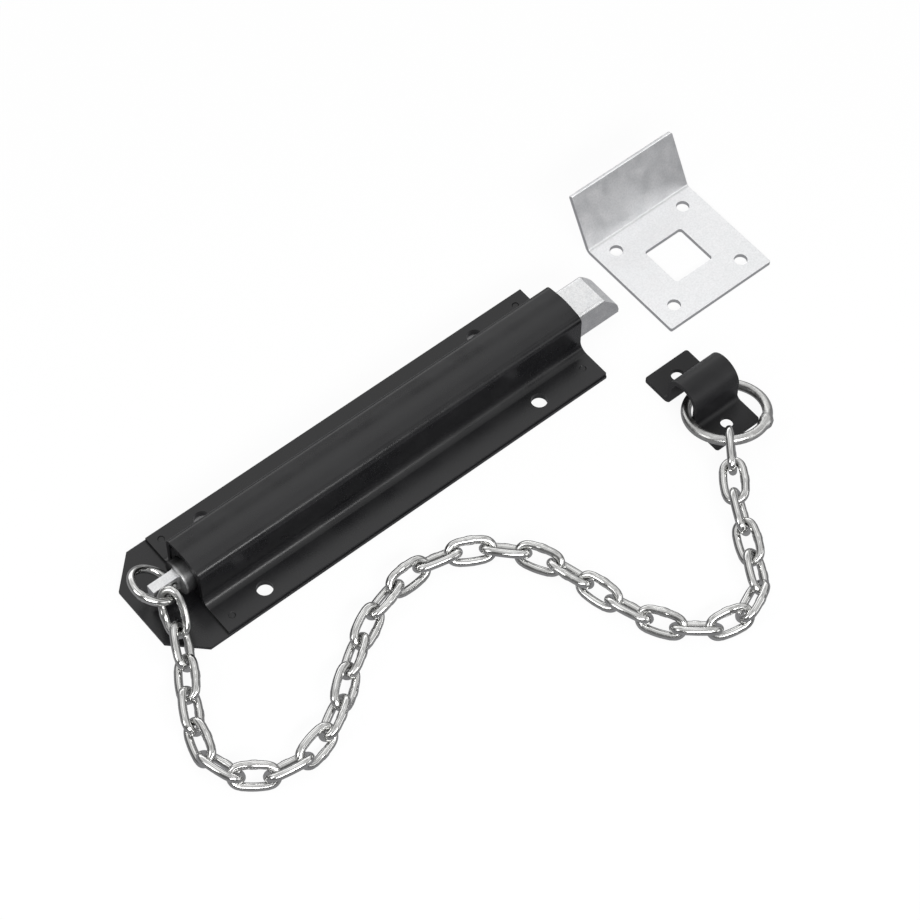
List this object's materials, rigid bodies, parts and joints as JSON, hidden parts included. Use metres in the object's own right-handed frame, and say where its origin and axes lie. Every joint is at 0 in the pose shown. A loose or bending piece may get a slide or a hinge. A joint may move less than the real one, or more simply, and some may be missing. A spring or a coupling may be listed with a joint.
{
  "type": "chain bolt",
  "caption": "Spring bolt in a black hat-section cover on a back plate, pulled back by a welded chain with rings and a staple, with its folded keep plate.",
  "frame": {"origin": "middle of the back plate's four screw holes, on the plate's underside", "axes": "+X along the bolt to its shooting end, +Z away from the plate's underside, +Y across to the far side from the laid-out chain"},
  "size_m": [0.3823, 0.2245, 0.0304],
  "materials": {
    "black_paint": "semi-gloss",
    "bolt_zinc": "satin zinc plating",
    "spring_steel": "plain",
    "plate_zinc": "satin zinc plating",
    "chain_zinc": "bright zinc plating"
  },
  "bodies": {
    "housing": {"back_plate": "black_paint", "cover": "black_paint", "front_guide": "black_paint", "rear_guide": "black_paint", "keep_plate": "plate_zinc", "spring": "spring_steel"},
    "bolt": {"bolt": "bolt_zinc", "stop_pin": "bolt_zinc", "spring_washer": "spring_steel"},
    "pull_ring": {"pull_ring": "chain_zinc"},
    "link_01": {"link_01": "chain_zinc"},
    "link_02": {"link_02": "chain_zinc"},
    "link_03": {"link_03": "chain_zinc"},
    "link_04": {"link_04": "chain_zinc"},
    "link_05": {"link_05": "chain_zinc"},
    "link_06": {"link_06": "chain_zinc"},
    "link_07": {"link_07": "chain_zinc"},
    "link_08": {"link_08": "chain_zinc"},
    "link_09": {"link_09": "chain_zinc"},
    "link_10": {"link_10": "chain_zinc"},
    "link_11": {"link_11": "chain_zinc"},
    "link_12": {"link_12": "chain_zinc"},
    "link_13": {"link_13": "chain_zinc"},
    "link_14": {"link_14": "chain_zinc"},
    "link_15": {"link_15": "chain_zinc"},
    "link_16": {"link_16": "chain_zinc"},
    "link_17": {"link_17": "chain_zinc"},
    "link_18": {"link_18": "chain_zinc"},
    "link_19": {"link_19": "chain_zinc"},
    "link_20": {"link_20": "chain_zinc"},
    "link_21": {"link_21": "chain_zinc"},
    "link_22": {"link_22": "chain_zinc"},
    "link_23": {"link_23": "chain_zinc"},
    "link_24": {"link_24": "chain_zinc"},
    "link_25": {"link_25": "chain_zinc"},
    "link_26": {"link_26": "chain_zinc"},
    "link_27": {"link_27": "chain_zinc"},
    "link_28": {"link_28": "chain_zinc"},
    "link_29": {"link_29": "chain_zinc"},
    "link_30": {"link_30": "chain_zinc"},
    "link_31": {"link_31": "chain_zinc"},
    "end_ring": {"end_ring": "chain_zinc"},
    "chain_staple": {"chain_staple": "black_paint"}
  },
  "joints": [
    {"name": "bolt_slide", "type": "slide", "parent": "housing", "child": "bolt", "axis": [-1, 0, 0], "range_m": [0, 0.025], "stiffness_N_per_m": 700, "springref_m": -0.02, "deforming": ["spring"]},
    {"name": "pull_ring_swing", "type": "hinge", "parent": "bolt", "child": "pull_ring", "pos_m": [-0.1159, 0, 0.014], "axis": [0, 1, 0], "range_deg": [-7, 50]},
    {"name": "link_01_swing", "type": "hinge", "parent": "pull_ring", "child": "link_01", "pos_m": [-0.12253, -0.00932, 0.01776], "axis": [0, 1, 0], "range_deg": [-50, 7]},
    {"name": "link_02_turn", "type": "hinge", "parent": "link_01", "child": "link_02", "pos_m": [-0.12618, -0.02012, 0.01004], "axis": [0, 0, -1], "range_deg": [-3, 4]},
    {"name": "link_03_turn", "type": "hinge", "parent": "link_02", "child": "link_03", "pos_m": [-0.13342, -0.03418, 0.00705], "axis": [0, 0, 1], "range_deg": [-27, 5]},
    {"name": "link_04_turn", "type": "hinge", "parent": "link_03", "child": "link_04", "pos_m": [-0.14165, -0.04801, 0.00648], "axis": [0, 0, -1], "range_deg": [-5, 35]},
    {"name": "link_05_turn", "type": "hinge", "parent": "link_04", "child": "link_05", "pos_m": [-0.14955, -0.06203, 0.00602], "axis": [0, 0, 1], "range_deg": [-45, 5]},
    {"name": "link_06_turn", "type": "hinge", "parent": "link_05", "child": "link_06", "pos_m": [-0.15402, -0.07749, 0.0058], "axis": [0, 0, -1], "range_deg": [-4, 45]},
    {"name": "link_07_turn", "type": "hinge", "parent": "link_06", "child": "link_07", "pos_m": [-0.14955, -0.09296, 0.0058], "axis": [0, 0, 1], "range_deg": [-45, 0]},
    {"name": "link_08_turn", "type": "hinge", "parent": "link_07", "child": "link_08", "pos_m": [-0.13678, -0.10277, 0.0058], "axis": [0, 0, -1], "range_deg": [-7, 45]},
    {"name": "link_09_turn", "type": "hinge", "parent": "link_08", "child": "link_09", "pos_m": [-0.12091, -0.10545, 0.0058], "axis": [0, 0, 1], "range_deg": [-45, 7]},
    {"name": "link_10_turn", "type": "hinge", "parent": "link_09", "child": "link_10", "pos_m": [-0.10527, -0.10162, 0.0058], "axis": [0, 0, -1], "range_deg": [-7, 45]},
    {"name": "link_11_turn", "type": "hinge", "parent": "link_10", "child": "link_11", "pos_m": [-0.09158, -0.09315, 0.0058], "axis": [0, 0, 1], "range_deg": [-43, 8]},
    {"name": "link_12_turn", "type": "hinge", "parent": "link_11", "child": "link_12", "pos_m": [-0.07891, -0.08322, 0.0058], "axis": [0, 0, -1], "range_deg": [-8, 34]},
    {"name": "link_13_turn", "type": "hinge", "parent": "link_12", "child": "link_13", "pos_m": [-0.06576, -0.07392, 0.0058], "axis": [0, 0, 1], "range_deg": [-29, 8]},
    {"name": "link_14_turn", "type": "hinge", "parent": "link_13", "child": "link_14", "pos_m": [-0.05149, -0.06646, 0.0058], "axis": [0, 0, -1], "range_deg": [-9, 25]},
    {"name": "link_15_turn", "type": "hinge", "parent": "link_14", "child": "link_15", "pos_m": [-0.03606, -0.06189, 0.0058], "axis": [0, 0, 1], "range_deg": [-22, 9]},
    {"name": "link_16_turn", "type": "hinge", "parent": "link_15", "child": "link_16", "pos_m": [-0.01997, -0.0612, 0.0058], "axis": [0, 0, -1], "range_deg": [-10, 21]},
    {"name": "link_17_turn", "type": "hinge", "parent": "link_16", "child": "link_17", "pos_m": [-0.0043, -0.06489, 0.0058], "axis": [0, 0, 1], "range_deg": [-20, 12]},
    {"name": "link_18_turn", "type": "hinge", "parent": "link_17", "child": "link_18", "pos_m": [0.00963, -0.07296, 0.0058], "axis": [0, 0, -1], "range_deg": [-14, 20]},
    {"name": "link_19_turn", "type": "hinge", "parent": "link_18", "child": "link_19", "pos_m": [0.02063, -0.08472, 0.0058], "axis": [0, 0, 1], "range_deg": [-21, 12]},
    {"name": "link_20_turn", "type": "hinge", "parent": "link_19", "child": "link_20", "pos_m": [0.02805, -0.09901, 0.0058], "axis": [0, 0, -1], "range_deg": [-9, 24]},
    {"name": "link_21_turn", "type": "hinge", "parent": "link_20", "child": "link_21", "pos_m": [0.0323, -0.11454, 0.0058], "axis": [0, 0, 1], "range_deg": [-34, 7]},
    {"name": "link_22_turn", "type": "hinge", "parent": "link_21", "child": "link_22", "pos_m": [0.03582, -0.13025, 0.0058], "axis": [0, 0, -1], "range_deg": [-6, 43]},
    {"name": "link_23_turn", "type": "hinge", "parent": "link_22", "child": "link_23", "pos_m": [0.04101, -0.14549, 0.0058], "axis": [0, 0, 1], "range_deg": [-45, 6]},
    {"name": "link_24_turn", "type": "hinge", "parent": "link_23", "child": "link_24", "pos_m": [0.04925, -0.15932, 0.0058], "axis": [0, 0, -1], "range_deg": [-7, 45]},
    {"name": "link_25_turn", "type": "hinge", "parent": "link_24", "child": "link_25", "pos_m": [0.06147, -0.16981, 0.0058], "axis": [0, 0, 1], "range_deg": [-45, 8]},
    {"name": "link_26_turn", "type": "hinge", "parent": "link_25", "child": "link_26", "pos_m": [0.07716, -0.17341, 0.0058], "axis": [0, 0, -1], "range_deg": [0, 45]},
    {"name": "link_27_turn", "type": "hinge", "parent": "link_26", "child": "link_27", "pos_m": [0.09182, -0.16677, 0.00579], "axis": [0, 0, 1], "range_deg": [-45, 2]},
    {"name": "link_28_turn", "type": "hinge", "parent": "link_27", "child": "link_28", "pos_m": [0.10022, -0.15303, 0.00592], "axis": [0, 0, -1], "range_deg": [-21, 34]},
    {"name": "link_29_turn", "type": "hinge", "parent": "link_28", "child": "link_29", "pos_m": [0.10742, -0.13867, 0.00697], "axis": [0, 0, 1], "range_deg": [-26, 31]},
    {"name": "link_30_turn", "type": "hinge", "parent": "link_29", "child": "link_30", "pos_m": [0.11539, -0.12472, 0.00794], "axis": [0, 0, -1], "range_deg": [-31, 20]},
    {"name": "link_31_turn", "type": "hinge", "parent": "link_30", "child": "link_31", "pos_m": [0.12468, -0.11164, 0.00933], "axis": [0, 0, 1], "range_deg": [-23, 26]},
    {"name": "end_ring_turn", "type": "hinge", "parent": "link_31", "child": "end_ring", "pos_m": [0.13269, -0.10121, 0.01094], "axis": [0, 0, -1], "range_deg": [-30, 31]},
    {"name": "chain_staple_turn", "type": "hinge", "parent": "end_ring", "child": "chain_staple", "pos_m": [0.1427, -0.0712, 0.007], "axis": [0, 0, 1], "range_deg": [0, 10]}
  ],
  "couplings": [
    {"joint": "link_01_swing", "follows": "pull_ring_swing", "ratio": -1}
  ]
}
